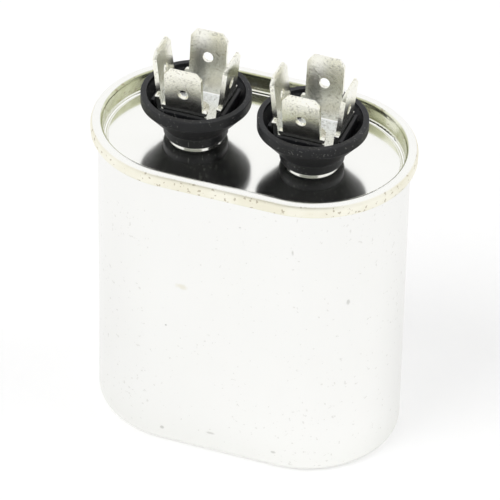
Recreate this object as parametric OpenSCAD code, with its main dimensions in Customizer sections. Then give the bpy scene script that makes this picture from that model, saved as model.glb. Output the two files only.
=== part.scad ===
// Motor run capacitor in an oval can: a deep-drawn aluminium can closed by a tinplate cover
// with a double seam, and two moulded cups that each hold a four-blade quick-connect terminal.
// Millimetres, +Z up, origin at the centre of the can's foot, long side of the oval along X.

/* [Can] */
// Length of the can over its two round ends
can_l = 52.4; // [44:0.2:70]
// Width of the can over its two flat sides
can_w = 32; // [29:0.2:42]
// Height of the case from its foot to the top of the seam
case_h = 56.1; // [40:0.1:90]
// Thickness of the drawn aluminium
can_wall = 0.5; // [0.35:0.05:0.6]
// Outer radius round the foot of the can
foot_r = 1.5; // [0.8:0.1:2.4]

/* [Seam and cover] */
// Thickness of the tinplate of the cover
cover_t = 0.3; // [0.2:0.02:0.36]
// Height of the double seam
seam_h = 2.5; // [2.3:0.1:3.4]
// Overlap length of each folded hook
hook_l = 1.3; // [1.1:0.05:1.4]
// Layer of sealing compound between folded layers
seam_gap = 0.05; // [0.03:0.01:0.08]
// Depth of the cover's flat panel under the top of the seam
panel_depth = 3.3; // [2.7:0.1:4.5]
// Radius of the groove pressed round the foot of the chuck wall
groove_r = 0.45; // [0.3:0.05:0.8]
// Height of the collar drawn up round each terminal hole
collar_h = 0.4; // [0.35:0.05:1.2]
// Thickness of that collar
collar_t = 0.32; // [0.24:0.02:0.6]

/* [Cups] */
// Distance between the two terminals
pitch = 20.2; // [18.8:0.1:25]
// Outer diameter of the cup's rim
cup_d = 18.2; // [17.2:0.1:18.4]
// Height of the cup above the cover's panel
cup_h = 8.6; // [8:0.1:12]
// Height of the straight band round the rim
band_h = 1.9; // [1.2:0.1:2.6]
// Wall of the cup at its rim
cup_wall = 0.95; // [0.7:0.05:1.2]
// Diameter of the cup's neck
neck_d = 10.7; // [10.2:0.1:11.4]
// Height of the neck's top edge above the panel
neck_h = 2.4; // [2:0.1:3]
// Diameter of the spigot that goes through the cover
spigot_d = 8.5; // [6.8:0.1:8.9]
// Diameter of the four pegs that keep the terminal from turning
peg_d = 0.9; // [0.6:0.1:1.1]

/* [Terminals] */
// Width of a quick-connect blade
blade_w = 6.35; // [4.75:0.05:6.35]
// Thickness of the blade and its blank
blade_t = 0.8; // [0.5:0.05:0.9]
// Length of a blade from the underside of its ears to its tip
blade_l = 8.4; // [6.5:0.1:11]
// Angle by which the blades lean outward
splay = 6.5; // [0:0.5:9]
// Diameter of the detent hole
detent_d = 1.8; // [1:0.1:2.2]
// Distance from the tip to the detent hole's centre
detent_l = 4.7; // [3.2:0.1:4.9]
// Width of the neck between the base and the ears
arm_w = 4.4; // [3.4:0.1:4.7]
// Length of that neck above its bend
arm_l = 2.47; // [1.8:0.05:3.5]
// Distance of the bend's centre from the terminal's axis
bend_at = 4.2; // [3.9:0.05:4.4]
// Outer diameter of the rivet's shank
rivet_d = 3.2; // [2.4:0.1:3.4]
// Width of the rivet's head past its shank, all round
head_w = 0.6; // [0.4:0.05:0.7]

/* [Inside] */
// Thickness of the rubber washer under the cover
gasket_t = 0.8; // [0.5:0.1:1.2]
// Thickness of the lower insulating bush's flange
bush_t = 1.8; // [1.2:0.1:2.4]
// Thickness of the solder tag
tag_t = 0.5; // [0.3:0.05:0.6]
// Thickness of the disconnect plate
plate_t = 1.4; // [1:0.1:2]
// Free space between the disconnect plate and the rivets
break_gap = 1.6; // [1:0.1:2.5]
// Space between the outer wrap and the can
wrap_space = 1.4; // [1.3:0.05:2]
// Thickness of the outer wrap
wrap_t = 0.3; // [0.2:0.05:0.5]
// Thickness of the sprayed metal at each end of the roll
spray_t = 0.6; // [0.3:0.05:1]
// Diameter of the lead wires
wire_d = 0.7; // [0.5:0.05:0.7]

/* [Hidden] */
$fn = 96;
// Overlap that makes a cut run past a face
cut = 1;

// Oval: half the straight side, and the radius of the can's outer face round it
half_l = (can_l - can_w) / 2;
can_r = can_w / 2;

// Seam layers, as distances out from the can's outer face
chuck_out = -can_wall - seam_gap;
chuck_in = chuck_out - cover_t;
hook_in = seam_gap;
hook_out = hook_in + cover_t;
flange_in = hook_out + seam_gap;
flange_out = flange_in + can_wall - seam_gap;
curl_in = flange_out + seam_gap;
curl_out = curl_in + cover_t;
seam_r = (curl_out - chuck_in) / 2;
seam_mid = (curl_out + chuck_in) / 2;
seam_foot = case_h - seam_h;
seam_bend_z = case_h - seam_r;
hook_r = (curl_out - hook_in) / 2;
hook_top = seam_foot + hook_l;
flange_foot = case_h - cover_t - seam_gap - hook_l;
flange_r = (flange_out + can_wall) / 2;
fold_r = flange_in / 2;
panel_z = case_h - panel_depth;
groove_at = chuck_in - groove_r;

// Running clearance round what passes through a hole
clear = 0.05;
spigot_r = spigot_d / 2;
hole_r = spigot_r + clear;
collar_z = panel_z + collar_h;

// Cup heights and radii
cup_r = cup_d / 2;
cup_top = panel_z + cup_h;
band_foot = cup_top - band_h;
neck_r = neck_d / 2;
neck_top = panel_z + neck_h;
foot_round = 0.9;
lip_round = 0.15;
step_w = 0.15;
floor_over_neck = 2.2;
cup_floor = neck_top + floor_over_neck;
well_over = 1.1;
well_r = neck_r + well_over;
well_h = 1.2;
peg_r = peg_d / 2;
peg_proud = 0.25;

// Terminal: blank, bend and blade
base_top = cup_floor + blade_t;
bend_in = 0.4;
bend_z = base_top + bend_in;
ear_w = 0.75;
ear_h = 0.7;
ear_round = 0.25;
tip_z = arm_l + blade_l;
chamfer_w = 0.95;
chamfer_h = 1.25;
lead_in_h = 1.2;
lead_in_t = 0.2;

// Rivet: domed head in the cup, shank, and the clinched roll under the tag
rivet_r = rivet_d / 2;
head_r = rivet_r + head_w;
head_h = 0.45;
head_ball = (head_r * head_r + head_h * head_h) / (2 * head_h);
roll_r = 0.4;
bore_r = 1;
bore_l = 2.4;

// Pegs at the inner corners of the blank, kept clear of the rivet's head
relief_r = peg_r + clear;
peg_at = max(arm_w / 2, (head_r + relief_r) / sqrt(2));

// Stack under the cover, from the top down
cover_under = panel_z - cover_t;
bush_lip_t = 0.35;
gasket_foot = cover_under - gasket_t;
gasket_over = 2.3;
gasket_r = spigot_r + gasket_over;
bush_foot = gasket_foot - bush_t;
bush_r = gasket_r + 2 * clear + bush_lip_t;
bush_lip_h = 0.5;
tag_foot = bush_foot - tag_t;
roll_foot = tag_foot - 2 * roll_r;

// Disconnect plate, roll and pad
plate_top = roll_foot - break_gap;
plate_foot = plate_top - plate_t;
plate_gap = 0.3;
plate_r = can_r - can_wall - plate_gap;
skirt_t = 0.9;
skirt_h = 2.8;
spray_top = plate_foot - skirt_h;
wrap_r = can_r - can_wall - wrap_space;
roll_out_r = wrap_r - wrap_t;
pad_h = 3.1;
pad_t = 0.5;
pad_wall_h = 3.5;
pad_foot_r = can_r - foot_r - clear;
pad_step_z = max(foot_r, can_wall + pad_t);
lower_spray_foot = can_wall + pad_h;
roll_foot_z = lower_spray_foot + spray_t;
roll_top_z = spray_top - spray_t;
core_r = 2;
core_t = 0.8;
wrap_over = 0.3;

// Lead wires: where they leave the tags, and the run outside the wrap
wire_r = wire_d / 2;
solder_r = 1.1;
solder_h = 0.35;
tail_past = 0.4;
tag_reach = bush_r + solder_r + tail_past;
tag_eye_r = 3;
tag_tail_w = 3;
wire_hole_r = wire_r + clear;
notch_share = 0.6;
notch_r = wire_r * notch_share;
notch_h = 0.5;
lead_x = pitch / 2 + tag_reach;
side_x = half_l + wrap_r + wrap_space / 2;
turn_drop = 1.2;
turn_z = plate_foot - turn_drop;
under_z = lower_spray_foot - wire_r;
sleeve_t = 0.2;
sleeve_r = wire_r + clear + sleeve_t;
sleeve_end = 1.4;
sleeve_top = turn_z - sleeve_end;
sleeve_foot = can_wall + pad_wall_h + sleeve_end;
join_out = 9.6;
join_x = half_l + join_out;
pad_ring_in = 5;
pad_ring_out = 8;

// Flat oval of the can's proportions with end radius r
module oval(r) {
    square([2 * half_l, 2 * r], center = true);
    for (side = [-1, 1])
        translate([side * half_l, 0]) circle(r);
}

// Ring of the same oval between two end radii, standing on z
module oval_ring(r_in, r_out, z, h) {
    translate([0, 0, z]) linear_extrude(h) difference() {
        oval(r_out);
        oval(r_in);
    }
}

// Sweeps a section all round the can: x is the distance out from the can's outer face
module around_can() {
    for (turn = [0, 180]) rotate([0, 0, turn]) {
        translate([half_l, 0, 0]) rotate([0, 0, -90])
            rotate_extrude(angle = 180) translate([can_r, 0]) children();
        translate([-half_l, 0, 0]) rotate([90, 0, 90])
            linear_extrude(2 * half_l) translate([can_r, 0]) children();
    }
}

// Part of a section above or below a height
module above(z) {
    intersection() {
        children();
        translate([-can_r, z]) square([2 * can_r, case_h]);
    }
}

module below(z) {
    intersection() {
        children();
        translate([-can_r, z - case_h]) square([2 * can_r, case_h]);
    }
}

// Rectangle from its two corners
module box2d(x0, z0, x1, z1) {
    translate([x0, z0]) square([x1 - x0, z1 - z0]);
}

// Puts a terminal's piece on its own side: -1 is left, 1 is right
module at_terminal(side) {
    translate([side * pitch / 2, 0, 0]) children();
}

// Can: flat floor, rounded foot, straight wall, and a flange folded out and down into the seam
module can_section() {
    difference() {
        union() {
            box2d(-can_wall, foot_r, 0, seam_bend_z);
            below(foot_r) translate([-foot_r, foot_r]) intersection() {
                circle(foot_r);
                box2d(0, -foot_r, foot_r, 0);
            }
        }
        translate([-foot_r, foot_r]) circle(foot_r - can_wall);
    }
    difference() {
        above(seam_bend_z) translate([seam_mid, seam_bend_z]) circle(flange_r);
        translate([fold_r, seam_bend_z]) circle(fold_r);
    }
    box2d(flange_in, flange_foot, flange_out, seam_bend_z);
}

module can() {
    color([0.93, 0.93, 0.92]) {
        around_can() can_section();
        linear_extrude(can_wall) oval(can_r - foot_r);
    }
}

// Cover: panel, groove, chuck wall, the curl over the can's flange and the hook under it
module cover_section() {
    difference() {
        below(panel_z) translate([groove_at, panel_z]) circle(groove_r + cover_t);
        translate([groove_at, panel_z]) circle(groove_r);
    }
    box2d(chuck_in, panel_z, chuck_out, seam_bend_z);
    above(seam_bend_z) translate([seam_mid, seam_bend_z]) difference() {
        circle(seam_r);
        circle(seam_r - cover_t);
    }
    box2d(curl_in, seam_foot + hook_r, curl_out, seam_bend_z);
    below(seam_foot + hook_r) translate([hook_in + hook_r, seam_foot + hook_r]) difference() {
        circle(hook_r);
        circle(hook_r - cover_t);
    }
    box2d(hook_in, seam_foot + hook_r, hook_out, hook_top);
}

// Collar drawn up round a terminal hole
module collar() {
    rotate_extrude() {
        box2d(hole_r, cover_under, hole_r + collar_t, collar_z - collar_t / 2);
        translate([hole_r + collar_t / 2, collar_z - collar_t / 2]) circle(collar_t / 2);
    }
}

module cover() {
    color([0.86, 0.86, 0.82]) {
        around_can() cover_section();
        translate([0, 0, cover_under]) linear_extrude(cover_t) difference() {
            oval(can_r + groove_at - groove_r - cover_t / 2);
            for (side = [-1, 1])
                translate([side * pitch / 2, 0]) circle(hole_r);
        }
        for (side = [-1, 1]) at_terminal(side) collar();
    }
}

// Bead of sealing compound above the cover's hook, inside the fold of the can's flange
module seam_compound() {
    color([0.35, 0.34, 0.3])
        around_can() above(hook_top) translate([fold_r, seam_bend_z]) circle(fold_r - clear);
}

// Cup: spigot, rounded foot, neck, flared bowl and a straight band round the rim
module cup_outline() {
    box2d(0, gasket_foot, spigot_r, collar_z + foot_round);
    box2d(0, collar_z, neck_r - foot_round, neck_top);
    box2d(0, collar_z + foot_round, neck_r, neck_top);
    translate([neck_r - foot_round, collar_z + foot_round]) circle(foot_round);
    polygon([
        [0, neck_top], [neck_r + step_w, neck_top], [neck_r + step_w, neck_top + step_w],
        [cup_r - step_w, band_foot], [cup_r, band_foot + step_w], [cup_r, cup_top - lip_round],
        [0, cup_top - lip_round],
    ]);
    box2d(0, cup_top - 2 * lip_round, cup_r - lip_round, cup_top);
    translate([cup_r - lip_round, cup_top - lip_round]) circle(lip_round);
}

module cup_hollow() {
    polygon([
        [0, cup_floor], [well_r, cup_floor], [well_r, cup_floor + well_h],
        [cup_r - cup_wall, band_foot + well_h], [cup_r - cup_wall, cup_top + cut], [0, cup_top + cut],
    ]);
}

// The four inner corners of the cross-shaped blank, where the pegs stand
module at_corners() {
    for (turn = [0 : 90 : 270]) rotate([0, 0, turn])
        translate([peg_at, peg_at, 0]) children();
}

module cup(side) {
    color([0.12, 0.12, 0.13]) at_terminal(side) {
        rotate_extrude() difference() {
            cup_outline();
            cup_hollow();
            box2d(-cut, gasket_foot - cut, rivet_r + clear, cup_top);
        }
        at_corners() translate([0, 0, cup_floor]) cylinder(h = blade_t + peg_proud, r = peg_r);
    }
}

// Bar with rounded ends whose two ends are the blade's ears
module ears() {
    reach = blade_w / 2 + ear_w;
    box2d(-reach, arm_l + ear_round, reach, arm_l + ear_h - ear_round);
    box2d(ear_round - reach, arm_l, reach - ear_round, arm_l + ear_h);
    for (side = [-1, 1]) for (up = [ear_round, ear_h - ear_round])
        translate([side * (reach - ear_round), arm_l + up]) circle(ear_round);
}

// Blade in its own plane: neck, ears, straight sides and a chamfered tip with its detent hole
module blade_shape() {
    half = blade_w / 2;
    difference() {
        union() {
            box2d(-arm_w / 2, 0, arm_w / 2, arm_l + ear_h / 2);
            ears();
            polygon([
                [-half, arm_l + ear_h / 2], [half, arm_l + ear_h / 2],
                [half, tip_z - chamfer_h], [half - chamfer_w, tip_z],
                [chamfer_w - half, tip_z], [-half, tip_z - chamfer_h],
            ]);
        }
        translate([0, tip_z - detent_l]) circle(detent_d / 2);
    }
}

// Wedge cut along the tip of a blade, on the face at x = 0
module lead_in() {
    rotate([90, 0, 0]) linear_extrude(blade_w + cut, center = true) polygon([
        [-cut, tip_z - lead_in_h - lead_in_h * cut / lead_in_t],
        [lead_in_t, tip_z], [lead_in_t, tip_z + cut], [-cut, tip_z + cut],
    ]);
}

// One arm of the blank: along the base, round the bend, and up into the blade
module arm() {
    translate([0, -arm_w / 2, cup_floor]) cube([bend_at, arm_w, blade_t]);
    translate([bend_at, 0, bend_z]) {
        rotate([90, 0, 0]) rotate([0, 0, -90]) rotate_extrude(angle = 90 - splay)
            translate([bend_in, -arm_w / 2]) square([blade_t, arm_w]);
        rotate([0, splay, 0]) translate([bend_in, 0, 0]) difference() {
            rotate([90, 0, 90]) linear_extrude(blade_t) blade_shape();
            lead_in();
            translate([blade_t, 0, 0]) mirror([1, 0, 0]) lead_in();
        }
    }
}

module terminal(side) {
    color([0.84, 0.82, 0.7]) at_terminal(side) difference() {
        for (turn = [0 : 90 : 270]) rotate([0, 0, turn]) arm();
        translate([0, 0, cup_floor - cut]) {
            cylinder(h = blade_t + 2 * cut, r = rivet_r + clear);
            at_corners() cylinder(h = blade_t + 2 * cut, r = relief_r);
        }
    }
}

// Rivet: domed head, shank, and a hollow end rolled out under the tag
module rivet(side) {
    color([0.8, 0.79, 0.72]) at_terminal(side) rotate_extrude() difference() {
        union() {
            intersection() {
                translate([0, base_top + head_h - head_ball]) circle(head_ball);
                box2d(0, base_top, head_r, base_top + head_h);
            }
            box2d(0, roll_foot + roll_r, rivet_r, base_top + roll_r);
            translate([rivet_r, roll_foot + roll_r]) circle(roll_r);
        }
        box2d(-cut, roll_foot - cut, bore_r, roll_foot + bore_l);
        box2d(-2 * head_ball, roll_foot - cut, 0, base_top + head_h + cut);
    }
}

// Rubber washer squeezed between the cover and the lower bush
module gasket(side) {
    color([0.2, 0.2, 0.2]) at_terminal(side) translate([0, 0, gasket_foot]) difference() {
        cylinder(h = gasket_t, r = gasket_r);
        translate([0, 0, -cut]) cylinder(h = gasket_t + 2 * cut, r = hole_r);
    }
}

// Lower insulating bush: a flange with a lip that keeps the washer round
module bush(side) {
    color([0.78, 0.72, 0.58]) at_terminal(side) difference() {
        union() {
            translate([0, 0, bush_foot]) cylinder(h = bush_t, r = bush_r);
            translate([0, 0, gasket_foot]) difference() {
                cylinder(h = bush_lip_h, r = bush_r);
                translate([0, 0, -cut]) cylinder(h = bush_lip_h + 2 * cut, r = bush_r - bush_lip_t);
            }
        }
        translate([0, 0, bush_foot - cut]) cylinder(h = bush_t + 2 * cut, r = rivet_r + clear);
    }
}

// Solder tag: an eye round the rivet and a tail with a hole for the lead
module tag(side) {
    color([0.82, 0.8, 0.7]) at_terminal(side) translate([0, 0, tag_foot])
        linear_extrude(tag_t) difference() {
            union() {
                circle(tag_eye_r);
                translate([side * tag_reach, 0]) circle(tag_tail_w / 2);
                translate([side * tag_reach / 2, 0]) square([tag_reach, tag_tail_w], center = true);
            }
            circle(rivet_r + clear);
            translate([side * tag_reach, 0]) circle(wire_hole_r);
        }
}

// Straight piece of wire down from a point, and one along X from it
module wire_down(x, z_top, z_foot) {
    translate([x, 0, z_foot]) cylinder(h = z_top - z_foot, r = wire_r);
}

module wire_out(x_from, x_to, z) {
    translate([x_from, 0, z]) rotate([0, 90, 0]) cylinder(h = x_to - x_from, r = wire_r);
}

module wire_knee(x, z) {
    translate([x, 0, z]) sphere(wire_r);
}

// Soldered head on the tag, and the notch at which the wire parts when the cover bulges
module wire_head(x) {
    translate([x, 0, tag_foot + tag_t]) cylinder(h = solder_h, r = solder_r);
    difference() {
        wire_down(x, tag_foot + tag_t + solder_h / 2, plate_top);
        translate([x, 0, plate_top + break_gap / 2]) difference() {
            cylinder(h = notch_h, r = wire_r + cut);
            cylinder(h = notch_h, r = notch_r);
        }
    }
}

module left_lead() {
    color([0.75, 0.74, 0.7]) {
        wire_head(-lead_x);
        wire_down(-lead_x, plate_top, spray_top);
        translate([-lead_x, 0, spray_top]) cylinder(h = solder_h, r = solder_r);
    }
}

module right_lead() {
    color([0.75, 0.74, 0.7]) {
        wire_head(lead_x);
        wire_down(lead_x, plate_top, turn_z);
        wire_knee(lead_x, turn_z);
        wire_out(lead_x, side_x, turn_z);
        wire_knee(side_x, turn_z);
        wire_down(side_x, turn_z, under_z);
        wire_knee(side_x, under_z);
        wire_out(join_x, side_x, under_z);
        wire_knee(join_x, under_z);
    }
}

// Insulating sleeve on the lead that runs down outside the roll
module lead_sleeve() {
    color([0.9, 0.88, 0.8]) translate([side_x, 0, sleeve_foot]) difference() {
        cylinder(h = sleeve_top - sleeve_foot, r = sleeve_r);
        translate([0, 0, -cut]) cylinder(h = sleeve_top - sleeve_foot + 2 * cut, r = wire_r + clear);
    }
}

// Disconnect plate: an insulating plate on a skirt that stands on the roll
module disconnect_plate() {
    color([0.85, 0.83, 0.76]) difference() {
        union() {
            translate([0, 0, plate_foot]) linear_extrude(plate_t) oval(plate_r);
            oval_ring(roll_out_r - 2 * plate_gap - skirt_t, roll_out_r - 2 * plate_gap, spray_top, skirt_h);
        }
        for (side = [-1, 1])
            translate([side * lead_x, 0, plate_foot - cut])
                cylinder(h = plate_t + 2 * cut, r = wire_hole_r);
        translate([lead_x, -2 * wire_r, spray_top - cut])
            cube([can_l, 4 * wire_r, plate_foot - spray_top + cut]);
    }
}

// Roll of metallised film wound flat on its core, and the metal sprayed on both its ends
module winding() {
    color([0.82, 0.82, 0.84]) oval_ring(core_r, roll_out_r, roll_foot_z, roll_top_z - roll_foot_z);
}

module winding_core() {
    color([0.9, 0.9, 0.88])
        oval_ring(core_r - core_t, core_r - clear, roll_foot_z, roll_top_z - roll_foot_z);
}

module upper_spray() {
    color([0.66, 0.67, 0.68]) oval_ring(core_r, roll_out_r, roll_top_z, spray_t);
}

module lower_spray() {
    color([0.66, 0.67, 0.68]) oval_ring(core_r, roll_out_r, lower_spray_foot, spray_t);
}

// Film wrapped round the roll, a little past its top
module outer_wrap() {
    color([0.92, 0.9, 0.82]) oval_ring(
        roll_out_r + clear, wrap_r, lower_spray_foot, spray_top - lower_spray_foot + wrap_over);
}

// Pad under the roll: a stepped plate that clears the can's rounded foot, a wall that centres
// the wrap and a ring that carries the roll
module bottom_pad() {
    color([0.88, 0.86, 0.8]) difference() {
        union() {
            translate([0, 0, can_wall]) linear_extrude(pad_step_z - can_wall) oval(pad_foot_r);
            translate([0, 0, pad_step_z]) linear_extrude(pad_t) oval(plate_r);
            oval_ring(wrap_r + clear, plate_r, pad_step_z, can_wall + pad_wall_h - pad_step_z);
            oval_ring(pad_ring_in, pad_ring_out, pad_step_z, can_wall + pad_h - pad_step_z);
        }
        translate([side_x - 2 * wire_r, -2 * wire_r, pad_step_z + pad_t])
            cube([can_l, 4 * wire_r, pad_wall_h]);
    }
}

can();
cover();
seam_compound();
cup(-1);  // left_cup
cup(1);  // right_cup
terminal(-1);  // left_terminal
terminal(1);  // right_terminal
rivet(-1);  // left_rivet
rivet(1);  // right_rivet
gasket(-1);  // left_gasket
gasket(1);  // right_gasket
bush(-1);  // left_bush
bush(1);  // right_bush
tag(-1);  // left_tag
tag(1);  // right_tag
left_lead();
right_lead();
lead_sleeve();
disconnect_plate();
winding();
winding_core();
upper_spray();
lower_spray();
outer_wrap();
bottom_pad();
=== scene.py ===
import math

import bpy
from mathutils import Matrix, Vector


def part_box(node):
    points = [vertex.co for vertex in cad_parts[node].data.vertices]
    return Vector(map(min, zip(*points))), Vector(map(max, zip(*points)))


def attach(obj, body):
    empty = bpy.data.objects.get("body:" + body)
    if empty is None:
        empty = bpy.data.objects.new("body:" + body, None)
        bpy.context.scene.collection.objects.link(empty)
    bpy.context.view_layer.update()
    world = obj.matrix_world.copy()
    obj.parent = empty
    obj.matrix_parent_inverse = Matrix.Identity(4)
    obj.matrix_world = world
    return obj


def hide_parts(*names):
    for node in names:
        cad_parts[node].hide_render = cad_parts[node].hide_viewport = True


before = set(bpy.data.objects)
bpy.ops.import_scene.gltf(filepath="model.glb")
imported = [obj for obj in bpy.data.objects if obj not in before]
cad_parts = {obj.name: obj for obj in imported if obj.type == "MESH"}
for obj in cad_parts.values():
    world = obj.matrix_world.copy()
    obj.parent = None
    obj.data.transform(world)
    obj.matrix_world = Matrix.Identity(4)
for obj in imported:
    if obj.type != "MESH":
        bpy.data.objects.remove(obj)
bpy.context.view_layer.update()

# ---- Camera and studio --------------------------------------------------------------------
# A long lens looks down on the capacitor from its right front corner. It stands on a plain
# pale table under two large soft lamps, in a white room with one dim side behind the camera.

MM = 0.001
scene = bpy.context.scene
scene.view_settings.view_transform = "Standard"
scene.cycles.glossy_bounces = 12

camera_azimuth = math.radians(19.545)
camera_elevation = math.radians(37.141)
camera_roll = math.radians(1.095)
camera_reach = 0.73757
camera_aim = Vector((-1.016, 2.044, 30)) * MM
camera_lens = 318.147
camera_near = 0.05
back = Vector((math.sin(camera_azimuth) * math.cos(camera_elevation),
               -math.cos(camera_azimuth) * math.cos(camera_elevation),
               math.sin(camera_elevation)))
bpy.ops.object.camera_add(location=camera_aim + back * camera_reach)
camera = bpy.context.object
camera.rotation_mode = "QUATERNION"
level = back.to_track_quat("Z", "Y")
camera.rotation_quaternion = level @ Matrix.Rotation(camera_roll, 3, "Z").to_quaternion()
camera.data.lens = camera_lens
camera.data.clip_start = camera_near
scene.camera = camera


def fill(tree, socket, value):
    """Links a socket to another one, or writes a plain value in it."""
    if isinstance(value, bpy.types.NodeSocket):
        tree.links.new(value, socket)
    else:
        socket.default_value = value


def node(tree, kind, inputs=None, **settings):
    """Adds a shader node with its settings, and fills the inputs that are named."""
    made = tree.nodes.new("ShaderNode" + kind)
    for name, value in settings.items():
        setattr(made, name, value)
    for name, value in (inputs or {}).items():
        fill(tree, made.inputs[name], value)
    return made


def maths(tree, operation, a, b=0.0):
    return node(tree, "Math", {0: a, 1: b}, operation=operation).outputs[0]


def vary(tree, value, span, base):
    """The base plus the span times the value."""
    made = node(tree, "Math", {0: value, 1: span, 2: base}, operation="MULTIPLY_ADD")
    return made.outputs[0]


def blend(tree, factor, a, b):
    """Colour a where the factor is 0, and b where it is 1."""
    made = node(tree, "Mix", {0: factor, 6: a, 7: b}, data_type="RGBA")
    return made.outputs[2]


def step(tree, value, low, high, to_low=0.0, to_high=1.0):
    """Turns a value smoothly from one number to another between two limits."""
    made = node(tree, "MapRange", {0: value, 1: low, 2: high, 3: to_low, 4: to_high},
                interpolation_type="SMOOTHSTEP")
    return made.outputs[0]


def seen_sharply(tree):
    """1 for rays that show a thing itself or its mirror image, and 0 for scattered light."""
    path = node(tree, "LightPath")
    seen = maths(tree, "MAXIMUM", path.outputs["Is Camera Ray"], path.outputs["Is Glossy Ray"])
    return maths(tree, "MAXIMUM", seen, path.outputs["Is Transmission Ray"])


def lay_floor():
    table_size = 8
    seen_glow = 0.3
    bpy.ops.object.select_all(action="DESELECT")
    bpy.ops.mesh.primitive_plane_add(size=table_size)
    table = bpy.context.object
    table.name = "table"
    paint = bpy.data.materials.new("table_white")
    paint.use_nodes = True
    tree = paint.node_tree
    surface = tree.nodes["Principled BSDF"]
    surface.inputs["Base Color"].default_value = (0.86, 0.86, 0.86, 1)
    surface.inputs["Roughness"].default_value = 0.8
    surface.inputs["Specular IOR Level"].default_value = 0.1
    surface.inputs["Emission Color"].default_value = (1, 1, 1, 1)
    glow = maths(tree, "MULTIPLY", seen_sharply(tree), seen_glow)
    tree.links.new(glow, surface.inputs["Emission Strength"])
    table.data.materials.append(paint)


def light_room():
    lighting_strength = 0.55
    world = bpy.data.worlds.new("white_room")
    scene.world = world
    world.use_nodes = True
    tree = world.node_tree
    tree.nodes.clear()
    strength = vary(tree, seen_sharply(tree), 1 - lighting_strength, lighting_strength)
    room = node(tree, "Background", {"Color": (1, 1, 1, 1), "Strength": strength})
    out = node(tree, "OutputWorld")
    tree.links.new(room.outputs[0], out.inputs["Surface"])


def hang_lamp(name, place, size, power):
    bpy.ops.object.light_add(type="AREA", location=place)
    lamp = bpy.context.object
    lamp.name = name
    lamp.data.shape = "DISK"
    lamp.data.size = size
    lamp.data.energy = power
    lamp.visible_glossy = False
    lamp.rotation_mode = "QUATERNION"
    lamp.rotation_quaternion = (lamp.location - camera_aim).to_track_quat("Z", "Y")


def stand_card(name, azimuth, height, reach, width, tall, tone):
    """A dim card that only shiny surfaces see, standing round the table."""
    bpy.ops.object.select_all(action="DESELECT")
    away = Vector((math.sin(azimuth) * math.cos(height), -math.cos(azimuth) * math.cos(height),
                   math.sin(height)))
    bpy.ops.mesh.primitive_plane_add(size=1, location=camera_aim + away * reach)
    card = bpy.context.object
    card.name = name
    card.rotation_mode = "QUATERNION"
    card.rotation_quaternion = away.to_track_quat("Z", "Y")
    card.scale = (width, tall, 1)
    paint = bpy.data.materials.new(name + "_tone")
    paint.use_nodes = True
    tree = paint.node_tree
    tree.nodes.clear()
    glow = node(tree, "Emission", {"Color": tone})
    out = node(tree, "OutputMaterial")
    tree.links.new(glow.outputs[0], out.inputs["Surface"])
    card.data.materials.append(paint)
    card.visible_camera = False
    card.visible_diffuse = False
    card.visible_shadow = False
    card.visible_transmission = False


lay_floor()
light_room()
hang_lamp("key_lamp", (-0.5, -0.6, 1.0), 0.9, 5.0)
hang_lamp("fill_lamp", (0.8, 0.2, 0.9), 0.8, 2.2)
stand_card("dim_card", camera_azimuth - 0.2, camera_elevation, 1.4, 1.6, 0.42,
           (0.30, 0.31, 0.27, 1))

# ---- Can ----------------------------------------------------------------------------------
# The case is one deep-drawn aluminium cup with a flat floor. Its skin is satin, with faint
# upright draw lines, and handling has left small scuffs, dark specks and a greasy smudge.


def finish_of(name, **plain):
    """Starts a material, and writes the values that are the same all over it."""
    made = bpy.data.materials.new(name)
    made.use_nodes = True
    surface = made.node_tree.nodes["Principled BSDF"]
    for key, value in plain.items():
        surface.inputs[key.replace("_", " ").title().replace("Ior", "IOR")].default_value = value
    return made, made.node_tree, surface


def paint(piece, finish, slot):
    piece.data.materials.clear()
    piece.data.materials.append(finish)


def dress(node_names, finish, slot):
    """Gives CAD nodes their material."""
    for name in node_names:
        paint(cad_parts[name], finish, slot)


def emboss(tree, surface, height, strength, depth):
    bump = node(tree, "Bump", {"Height": height, "Strength": strength, "Distance": depth})
    tree.links.new(bump.outputs[0], surface.inputs["Normal"])


def group_tree(name, inputs, outputs):
    """Starts a node group with number or vector inputs and mask, value or vector outputs."""
    tree = bpy.data.node_groups.new(name, "ShaderNodeTree")
    for label, kind, value in inputs:
        made = tree.interface.new_socket(label, in_out="INPUT", socket_type="NodeSocket" + kind)
        made.default_value = value
    for label, kind in outputs:
        tree.interface.new_socket(label, in_out="OUTPUT", socket_type="NodeSocket" + kind)
    entry = tree.nodes.new("NodeGroupInput")
    leave = tree.nodes.new("NodeGroupOutput")
    return tree, entry, leave


def grouped(tree, group, **inputs):
    made = tree.nodes.new("ShaderNodeGroup")
    made.node_tree = group
    for name, value in inputs.items():
        fill(tree, made.inputs[name.replace("_", " ")], value)
    return made


def make_speckle():
    """Small specks: where a fine noise passes a threshold that a coarse noise moves."""
    tree, entry, leave = group_tree(
        "speckle",
        [("Place", "Vector", (0, 0, 0)), ("Scale", "Float", 1000.0), ("Amount", "Float", 0.3),
         ("Patch Scale", "Float", 100.0)],
        [("Mask", "Float")])
    fine = node(tree, "TexNoise", {"Vector": entry.outputs["Place"],
                                   "Scale": entry.outputs["Scale"], "Detail": 2.0})
    coarse = node(tree, "TexNoise", {"Vector": entry.outputs["Place"],
                                     "Scale": entry.outputs["Patch Scale"], "Detail": 1.0})
    level = vary(tree, entry.outputs["Amount"], -0.35, 0.78)
    level = maths(tree, "SUBTRACT", level, maths(tree, "MULTIPLY", coarse.outputs[0], 0.18))
    soft = maths(tree, "ADD", level, 0.05)
    mask = step(tree, fine.outputs[0], level, soft)
    tree.links.new(mask, leave.inputs["Mask"])
    return tree


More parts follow.
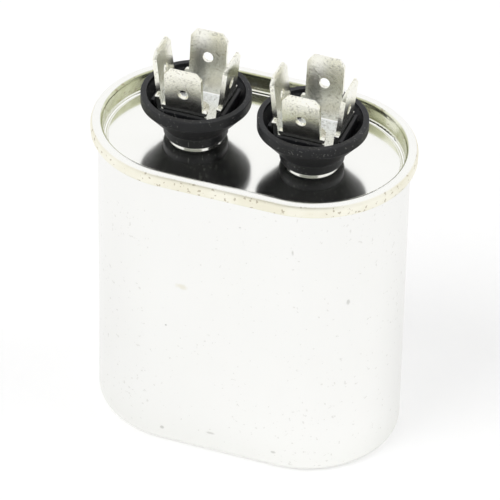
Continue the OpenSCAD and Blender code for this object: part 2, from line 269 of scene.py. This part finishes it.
def make_scuff():
    """A ragged rubbed spot of a given size at a given place."""
    tree, entry, leave = group_tree(
        "scuff",
        [("Place", "Vector", (0, 0, 0)), ("Centre", "Vector", (0, 0, 0)),
         ("Size", "Vector", (1, 1, 1))],
        [("Mask", "Float")])
    away = node(tree, "VectorMath", {0: entry.outputs["Place"], 1: entry.outputs["Centre"]},
                operation="SUBTRACT")
    scaled = node(tree, "VectorMath", {0: away.outputs[0], 1: entry.outputs["Size"]},
                  operation="DIVIDE")
    reach = node(tree, "VectorMath", {0: scaled.outputs[0]}, operation="LENGTH").outputs["Value"]
    ragged = node(tree, "TexNoise", {"Vector": entry.outputs["Place"], "Scale": 900.0,
                                     "Detail": 4.0})
    edge = maths(tree, "ADD", reach, maths(tree, "MULTIPLY", ragged.outputs[0], 1.1))
    tree.links.new(step(tree, edge, 0.75, 1.35, 1.0, 0.0), leave.inputs["Mask"])
    return tree


speckle = make_speckle()
scuff = make_scuff()


def can_finish():
    made, tree, surface = finish_of("can_satin_aluminium", metallic=1.0)
    place = node(tree, "TexCoord").outputs["Object"]
    drawn = node(tree, "Mapping", {"Vector": place, "Scale": (1, 1, 0.03)})
    lines = node(tree, "TexNoise", {"Vector": drawn.outputs[0], "Scale": 1800.0, "Detail": 3.0})
    cloud = node(tree, "TexNoise", {"Vector": place, "Scale": 60.0, "Detail": 3.0})
    grain = node(tree, "TexNoise", {"Vector": place, "Scale": 5200.0, "Detail": 2.0})
    height = node(tree, "SeparateXYZ", {0: place}).outputs["Z"]

    clean = blend(tree, cloud.outputs[0], (0.905, 0.905, 0.885, 1), (0.93, 0.93, 0.912, 1))
    # Painted shade: the colour darkens over the lowest 9 mm, standing in for the table's contact
    # shadow
    foot = step(tree, height, 0.0, 9 * MM, 1.0, 0.0)
    tone = blend(tree, maths(tree, "MULTIPLY", foot, 0.35), clean, (0.86, 0.865, 0.83, 1))

    # Greasy smudge, scuffs and dark specks where the can has been handled
    marks = [
        ((-6.3, -16.0, 33.7), (1.6, 2.0, 0.9), (0.80, 0.77, 0.64, 1), 0.5),
        ((-9.7, -16.0, 3.0), (0.6, 1.0, 0.5), (0.55, 0.55, 0.52, 1), 0.6),
        ((-1.1, -16.0, 4.3), (1.3, 1.0, 0.35), (0.6, 0.6, 0.57, 1), 0.55),
        ((10.1, -16.0, 3.5), (0.8, 1.0, 0.4), (0.55, 0.55, 0.52, 1), 0.6),
        ((-9.1, -16.0, 25.0), (0.35, 0.5, 0.3), (0.5, 0.5, 0.48, 1), 0.7),
        ((12.6, -15.8, 45.8), (0.35, 0.8, 0.9), (0.6, 0.6, 0.56, 1), 0.55),
        ((21.0, -11.8, 35.3), (0.5, 0.5, 0.9), (0.6, 0.6, 0.57, 1), 0.6),
        ((3.6, -16.0, 48.5), (0.4, 0.5, 0.3), (0.6, 0.6, 0.57, 1), 0.55),
    ]
    worn = 0.0
    for centre, size, colour, weight in marks:
        spot = grouped(tree, scuff, Place=place, Centre=[c * MM for c in centre],
                       Size=[s * MM for s in size]).outputs["Mask"]
        tone = blend(tree, maths(tree, "MULTIPLY", spot, weight), tone, colour)
        worn = maths(tree, "MAXIMUM", worn, spot)
    specks = grouped(tree, speckle, Place=place, Scale=1500.0, Amount=0.05,
                     Patch_Scale=90.0).outputs["Mask"]
    tone = blend(tree, maths(tree, "MULTIPLY", specks, 0.35), tone, (0.6, 0.59, 0.55, 1))
    tree.links.new(tone, surface.inputs["Base Color"])

    rough = vary(tree, lines.outputs[0], 0.12, 0.34)
    rough = maths(tree, "ADD", rough, maths(tree, "MULTIPLY", worn, 0.15))
    tree.links.new(rough, surface.inputs["Roughness"])
    relief = maths(tree, "ADD", maths(tree, "MULTIPLY", lines.outputs[0], 0.8),
                   maths(tree, "MULTIPLY", grain.outputs[0], 0.25))
    emboss(tree, surface, relief, strength=0.12, depth=0.05 * MM)
    return made


dress(["can"], can_finish(), "can_aluminium")

# ---- Cover and seam -----------------------------------------------------------------------
# The cover is bright tinplate, pressed with a sunk panel and folded over the can's flange in a
# double seam. Its panel is nearly a mirror; the seam is rubbed by the rolls and stained yellow,
# and the wall inside the seam has painted olive reflections.


def make_oval_place():
    """How far a point lies out from the can's wall, in millimetres, and its height."""
    tree, entry, leave = group_tree(
        "oval_place",
        [("Place", "Vector", (0, 0, 0)), ("Half Straight", "Float", 10.2),
         ("End Radius", "Float", 16.0)],
        [("Out", "Float"), ("Height", "Float")])
    part = node(tree, "SeparateXYZ", {0: entry.outputs["Place"]})
    along = maths(tree, "MULTIPLY", maths(tree, "ABSOLUTE", part.outputs["X"]), 1 / MM)
    along = maths(tree, "MAXIMUM", maths(tree, "SUBTRACT", along, entry.outputs["Half Straight"]))
    across = maths(tree, "MULTIPLY", part.outputs["Y"], 1 / MM)
    reach = maths(tree, "SQRT", maths(tree, "ADD", maths(tree, "MULTIPLY", along, along),
                                      maths(tree, "MULTIPLY", across, across)))
    tree.links.new(maths(tree, "SUBTRACT", reach, entry.outputs["End Radius"]),
                   leave.inputs["Out"])
    tree.links.new(maths(tree, "MULTIPLY", part.outputs["Z"], 1 / MM), leave.inputs["Height"])
    return tree


oval_place = make_oval_place()


def cover_finish():
    made, tree, surface = finish_of("cover_tinplate", metallic=1.0)
    place = node(tree, "TexCoord").outputs["Object"]
    oval = grouped(tree, oval_place, Place=place)
    out, height = oval.outputs["Out"], oval.outputs["Height"]
    outer = maths(tree, "MULTIPLY", step(tree, out, 0.6, 1.0), step(tree, height, 55.7, 55.9, 1, 0))
    inner = maths(tree, "MULTIPLY", step(tree, out, -1.2, -0.85), step(tree, height, 52.9, 53.2))
    inner = maths(tree, "MULTIPLY", inner, step(tree, out, -0.55, -0.3, 1, 0))
    panel = step(tree, height, 52.85, 53.1, 1, 0)

    cloud = node(tree, "TexNoise", {"Vector": place, "Scale": 140.0, "Detail": 4.0})
    fine = node(tree, "TexNoise", {"Vector": place, "Scale": 3500.0, "Detail": 3.0})
    tone = blend(tree, cloud.outputs[0], (0.93, 0.93, 0.90, 1), (0.97, 0.97, 0.945, 1))
    band = blend(tree, step(tree, cloud.outputs[0], 0.35, 0.65), (0.86, 0.83, 0.69, 1),
                 (0.93, 0.91, 0.80, 1))
    tone = blend(tree, outer, tone, band)
    # Painted reflection: the wall inside the seam gets dark and light olive patches that stand in
    # for the uneven surroundings it mirrors
    wall = blend(tree, step(tree, cloud.outputs[0], 0.42, 0.6), (0.50, 0.52, 0.30, 1),
                 (0.82, 0.83, 0.66, 1))
    tone = blend(tree, maths(tree, "MULTIPLY", inner, 0.85), tone, wall)
    rust = grouped(tree, speckle, Place=place, Scale=1300.0, Amount=0.22,
                   Patch_Scale=160.0).outputs["Mask"]
    rust = maths(tree, "MULTIPLY", rust, maths(tree, "MAXIMUM", outer, inner))
    tone = blend(tree, maths(tree, "MULTIPLY", rust, 0.6), tone, (0.36, 0.30, 0.20, 1))
    tree.links.new(tone, surface.inputs["Base Color"])

    rough = step(tree, panel, 0, 1, 0.22, 0.1)
    rough = maths(tree, "ADD", rough, maths(tree, "MULTIPLY", outer, 0.12))
    rough = maths(tree, "ADD", rough, maths(tree, "MULTIPLY", fine.outputs[0], 0.05))
    tree.links.new(rough, surface.inputs["Roughness"])
    emboss(tree, surface, fine.outputs[0], strength=0.05, depth=0.02 * MM)
    return made


dress(["cover"], cover_finish(), "cover_tinplate")


def compound_finish():
    made, tree, surface = finish_of("seam_compound", roughness=0.7)
    place = node(tree, "TexCoord").outputs["Object"]
    cloud = node(tree, "TexNoise", {"Vector": place, "Scale": 700.0, "Detail": 3.0})
    tone = blend(tree, cloud.outputs[0], (0.28, 0.27, 0.23, 1), (0.4, 0.38, 0.33, 1))
    tree.links.new(tone, surface.inputs["Base Color"])
    return made


dress(["seam_compound"], compound_finish(), "compound")

# ---- Terminal cups ------------------------------------------------------------------------
# Each cup is moulded in black thermoset. Its spigot goes through the cover, and its wall keeps
# fingers and stray wires off the blades. Four low walls stand outside the blades' feet. The edges
# of the rim are lighter, partly from wear and partly as painted highlight, and the rim is dusty.


def finished_copy(node_name, piece_name, edge, reshape):
    """A reshaped copy of a CAD node, with its edges rounded."""
    bpy.ops.object.select_all(action="DESELECT")
    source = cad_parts[node_name]
    piece = source.copy()
    piece.data = source.data.copy()
    piece.name = piece_name
    piece.data.name = piece_name
    piece.parent = None
    for key in list(piece.keys()):
        del piece[key]
    scene.collection.objects.link(piece)
    bpy.context.view_layer.objects.active = piece
    piece.select_set(True)
    bpy.ops.object.mode_set(mode="EDIT")
    bpy.ops.mesh.select_all(action="SELECT")
    bpy.ops.mesh.customdata_custom_splitnormals_clear()
    bpy.ops.mesh.remove_doubles(threshold=0.001 * MM)
    bpy.ops.mesh.dissolve_limited(angle_limit=math.radians(0.4))
    bpy.ops.object.mode_set(mode="OBJECT")
    for vertex in piece.data.vertices:
        vertex.co = reshape(vertex.co)
    bevel = piece.modifiers.new("edges", "BEVEL")
    bevel.width = edge
    bevel.segments = 2
    bevel.limit_method = "ANGLE"
    bevel.angle_limit = math.radians(28)
    bevel.use_clamp_overlap = True
    bpy.ops.object.modifier_apply(modifier="edges")
    bpy.ops.object.shade_smooth_by_angle(angle=math.radians(32))
    faired = piece.modifiers.new("faired", "WEIGHTED_NORMAL")
    faired.keep_sharp = True
    bpy.ops.object.modifier_apply(modifier="faired")
    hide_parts(node_name)
    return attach(piece, "root")


def make_edge_wear_and_highlight():
    """Where a surface turns over an edge, broken up by a fine noise: a mask for worn edges and for
    painted edge highlights.
    """
    tree, entry, leave = group_tree(
        "edge_wear_and_highlight",
        [("Place", "Vector", (0, 0, 0)), ("Radius", "Float", 0.0001), ("Scale", "Float", 2000.0)],
        [("Mask", "Float")])
    round_edge = node(tree, "Bevel", {"Radius": entry.outputs["Radius"]}, samples=6)
    flat = node(tree, "NewGeometry").outputs["Normal"]
    turn = node(tree, "VectorMath", {0: round_edge.outputs[0], 1: flat},
                operation="DOT_PRODUCT").outputs["Value"]
    edge = step(tree, turn, 0.985, 0.86)
    ragged = node(tree, "TexNoise", {"Vector": entry.outputs["Place"],
                                     "Scale": entry.outputs["Scale"], "Detail": 3.0})
    mask = maths(tree, "MULTIPLY", edge, step(tree, ragged.outputs[0], 0.35, 0.62))
    tree.links.new(mask, leave.inputs["Mask"])
    return tree


edge_wear_and_highlight = make_edge_wear_and_highlight()


def cup_finish():
    made, tree, surface = finish_of("cup_black_thermoset", specular_ior_level=0.35)
    place = node(tree, "TexCoord").outputs["Object"]
    cloud = node(tree, "TexNoise", {"Vector": place, "Scale": 260.0, "Detail": 4.0})
    fine = node(tree, "TexNoise", {"Vector": place, "Scale": 4200.0, "Detail": 3.0})
    tone = blend(tree, cloud.outputs[0], (0.010, 0.010, 0.011, 1), (0.020, 0.021, 0.024, 1))
    # Lighter rim edges: partly worn plastic, partly a painted highlight where the edges catch the
    # light
    worn = grouped(tree, edge_wear_and_highlight, Place=place, Radius=0.12 * MM, Scale=3200.0).outputs["Mask"]
    tone = blend(tree, maths(tree, "MULTIPLY", worn, 0.5), tone, (0.20, 0.20, 0.20, 1))
    dust = grouped(tree, speckle, Place=place, Scale=2600.0, Amount=0.12,
                   Patch_Scale=300.0).outputs["Mask"]
    tone = blend(tree, maths(tree, "MULTIPLY", dust, 0.35), tone, (0.3, 0.3, 0.28, 1))
    tree.links.new(tone, surface.inputs["Base Color"])
    rough = vary(tree, cloud.outputs[0], 0.18, 0.36)
    tree.links.new(rough, surface.inputs["Roughness"])
    emboss(tree, surface, fine.outputs[0], strength=0.15, depth=0.03 * MM)
    return made


def terminal_axis(side):
    low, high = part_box(side + "_terminal")
    return (low[0] + high[0]) / 2


def sink_pegs(side):
    """Lowers the tops of the locating pegs until the terminal's base plate covers them."""
    axis = terminal_axis(side)
    peg_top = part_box(side + "_terminal")[0][2] + 0.1 * MM
    peg_reach = 3 * MM

    def move(point):
        inner = max(abs(point.x - axis), abs(point.y)) < peg_reach
        if inner and point.z > peg_top:
            return Vector((point.x, point.y, peg_top))
        return point
    return move


def model_wall(floor):
    """A low wall that stands on a cup's floor, out from the cup's axis along x."""
    top = floor + 3.45 * MM
    inner, outer = 5.72 * MM, 6.4 * MM
    foot_half, top_half = 2.8 * MM, 4.1 * MM
    edge = 0.15 * MM
    bpy.ops.object.select_all(action="DESELECT")
    bpy.ops.mesh.primitive_cube_add(size=1)
    wall = bpy.context.object
    for vertex in wall.data.vertices:
        high = vertex.co.z > 0
        out = outer if vertex.co.x > 0 else inner
        # It is narrower at its foot, so that it stays inside the cup's flare
        along = math.copysign(top_half if high else foot_half, vertex.co.y)
        vertex.co = Vector((out, along, top if high else floor))
    bevel = wall.modifiers.new("edges", "BEVEL")
    bevel.width = edge
    bevel.segments = 3
    bpy.ops.object.modifier_apply(modifier="edges")
    bpy.ops.object.shade_smooth_by_angle(angle=math.radians(40))
    return wall


def stand_walls(wall, side, finish):
    """Copies the wall outside the foot of each of the four blades."""
    to_cup = Matrix.Translation((terminal_axis(side), 0, 0))
    for turn in range(4):
        copy = wall.copy()
        copy.data = wall.data.copy()
        copy.name = copy.data.name = "%s_cup_wall_%d" % (side, turn + 1)
        copy.data.transform(to_cup @ Matrix.Rotation(turn * math.pi / 2, 4, "Z"))
        scene.collection.objects.link(copy)
        paint(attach(copy, "root"), finish, "cup_moulding")


cup_black = cup_finish()
blade_wall = model_wall(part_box("left_terminal")[0][2])
for side in ("left", "right"):
    cup = finished_copy(side + "_cup", side + "_terminal_cup", 0.07 * MM, sink_pegs(side))
    paint(cup, cup_black, "cup_moulding")
    stand_walls(blade_wall, side, cup_black)
bpy.data.objects.remove(blade_wall)

# ---- Terminals ----------------------------------------------------------------------------
# Each terminal is one cross-shaped blank of tin-plated sheet with its four arms bent up into
# quick-connect blades. The press leaves rounded edges, and the plating is speckled and yellowish.


def blade_finish():
    made, tree, surface = finish_of("blade_tin_plate", metallic=1.0)
    place = node(tree, "TexCoord").outputs["Object"]
    cloud = node(tree, "TexNoise", {"Vector": place, "Scale": 220.0, "Detail": 4.0})
    fine = node(tree, "TexNoise", {"Vector": place, "Scale": 3600.0, "Detail": 3.0})
    tone = blend(tree, step(tree, cloud.outputs[0], 0.3, 0.7), (0.91, 0.90, 0.80, 1),
                 (0.94, 0.935, 0.865, 1))
    height = maths(tree, "MULTIPLY", node(tree, "SeparateXYZ", {0: place}).outputs["Z"], 1 / MM)
    # Painted reflection: below the ears the plating turns neutral grey-white, standing in for the
    # bright surroundings that the lower arms mirror
    low = step(tree, height, 59.5, 62.5, 1, 0)
    tone = blend(tree, low, tone, (0.90, 0.91, 0.90, 1))
    spots = grouped(tree, speckle, Place=place, Scale=2300.0, Amount=0.3,
                    Patch_Scale=350.0).outputs["Mask"]
    tone = blend(tree, maths(tree, "MULTIPLY", spots, 0.45), tone, (0.42, 0.40, 0.34, 1))
    tree.links.new(tone, surface.inputs["Base Color"])
    rough = vary(tree, fine.outputs[0], 0.14, 0.16)
    tree.links.new(rough, surface.inputs["Roughness"])
    emboss(tree, surface, fine.outputs[0], strength=0.12, depth=0.02 * MM)
    return made


def widen_base(side):
    """Widens the blank's four arms up to the ears, so that the base is nearly a full square."""
    axis = terminal_axis(side)
    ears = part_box(side + "_terminal")[0][2] + 3.7 * MM
    arm_from, arm_to, widening = 1.68 * MM, 2.9 * MM, 1.4 * MM

    def spread(value):
        on_arm_side = arm_from < abs(value) < arm_to
        return value + math.copysign(widening, value) if on_arm_side else value

    def move(point):
        if point.z >= ears:
            return point
        return Vector((axis + spread(point.x - axis), spread(point.y), point.z))
    return move


blade_plate = blade_finish()
for side in ("left", "right"):
    blades = finished_copy(side + "_terminal", side + "_four_blade_terminal", 0.05 * MM,
                           widen_base(side))
    paint(blades, blade_plate, "terminal_plate")

# ---- Rivets, washers, bushes and tags -----------------------------------------------------
# A tubular rivet clinches each terminal through the cup, a rubber washer, a moulded bush and a
# solder tag, and so clamps the whole stack to the cover.


def plain_finish(name, dark, light, scale, metallic, roughness, bump_depth):
    """A surface with a clouded colour and a fine grain, for pieces that are mostly hidden."""
    made, tree, surface = finish_of(name, metallic=metallic)
    place = node(tree, "TexCoord").outputs["Object"]
    cloud = node(tree, "TexNoise", {"Vector": place, "Scale": scale, "Detail": 4.0})
    fine = node(tree, "TexNoise", {"Vector": place, "Scale": scale * 8, "Detail": 3.0})
    tree.links.new(blend(tree, cloud.outputs[0], dark, light), surface.inputs["Base Color"])
    rough = vary(tree, fine.outputs[0], 0.15, roughness)
    tree.links.new(rough, surface.inputs["Roughness"])
    emboss(tree, surface, fine.outputs[0], strength=0.3, depth=bump_depth)
    return made


# The nodes and their slot, the finish with its dark and light tone,
# and its scale, metallic, roughness and depth of grain
fittings = [
    (["left_rivet", "right_rivet"], "rivet_metal",
     "rivet_tin_plate", (0.68, 0.66, 0.56, 1), (0.84, 0.82, 0.74, 1),
     300.0, 1.0, 0.2, 0.01 * MM),
    (["left_gasket", "right_gasket"], "rubber",
     "gasket_rubber", (0.02, 0.02, 0.02, 1), (0.05, 0.05, 0.05, 1),
     400.0, 0.0, 0.6, 0.02 * MM),
    (["left_bush", "right_bush"], "bush_moulding",
     "bush_moulding", (0.62, 0.54, 0.38, 1), (0.78, 0.70, 0.54, 1),
     250.0, 0.0, 0.45, 0.02 * MM),
    (["left_tag", "right_tag"], "tag_metal",
     "tag_tinned_brass", (0.66, 0.60, 0.40, 1), (0.80, 0.75, 0.56, 1),
     300.0, 1.0, 0.25, 0.01 * MM),
]
for node_names, slot, *finish in fittings:
    dress(node_names, plain_finish(*finish), slot)

# ---- Leads, disconnect plate, roll and pad ------------------------------------------------
# Inside the sealed can a film roll with sprayed zinc ends stands on an insulating pad. Notched
# leads join it to the tags through a plate that tears them apart if the cover bulges.

# The nodes and their slot, the finish with its dark and light tone,
# and its scale, metallic, roughness and depth of grain
inner_pieces = [
    (["left_lead", "right_lead"], "wire",
     "lead_tinned_wire", (0.6, 0.59, 0.54, 1), (0.76, 0.75, 0.7, 1),
     500.0, 1.0, 0.3, 0.01 * MM),
    (["lead_sleeve"], "sleeve",
     "sleeve_woven", (0.80, 0.77, 0.66, 1), (0.9, 0.88, 0.8, 1),
     900.0, 0.0, 0.6, 0.05 * MM),
    (["disconnect_plate"], "insulating_board",
     "disconnect_board", (0.74, 0.71, 0.61, 1), (0.84, 0.81, 0.72, 1),
     200.0, 0.0, 0.5, 0.02 * MM),
    (["winding"], "film",
     "film_roll", (0.70, 0.70, 0.73, 1), (0.82, 0.82, 0.84, 1),
     150.0, 0.6, 0.25, 0.01 * MM),
    (["winding_core"], "core_plastic",
     "core_tube", (0.82, 0.82, 0.8, 1), (0.9, 0.9, 0.88, 1),
     200.0, 0.0, 0.4, 0.01 * MM),
    (["upper_spray", "lower_spray"], "sprayed_zinc",
     "sprayed_zinc", (0.38, 0.39, 0.40, 1), (0.62, 0.63, 0.64, 1),
     900.0, 0.9, 0.55, 0.08 * MM),
    (["outer_wrap"], "wrap_film",
     "wrap_film", (0.84, 0.80, 0.68, 1), (0.92, 0.9, 0.82, 1),
     120.0, 0.0, 0.2, 0.01 * MM),
    (["bottom_pad"], "pad_plastic",
     "pad_moulding", (0.80, 0.77, 0.7, 1), (0.88, 0.86, 0.8, 1),
     200.0, 0.0, 0.5, 0.02 * MM),
]
for node_names, slot, *finish in inner_pieces:
    dress(node_names, plain_finish(*finish), slot)
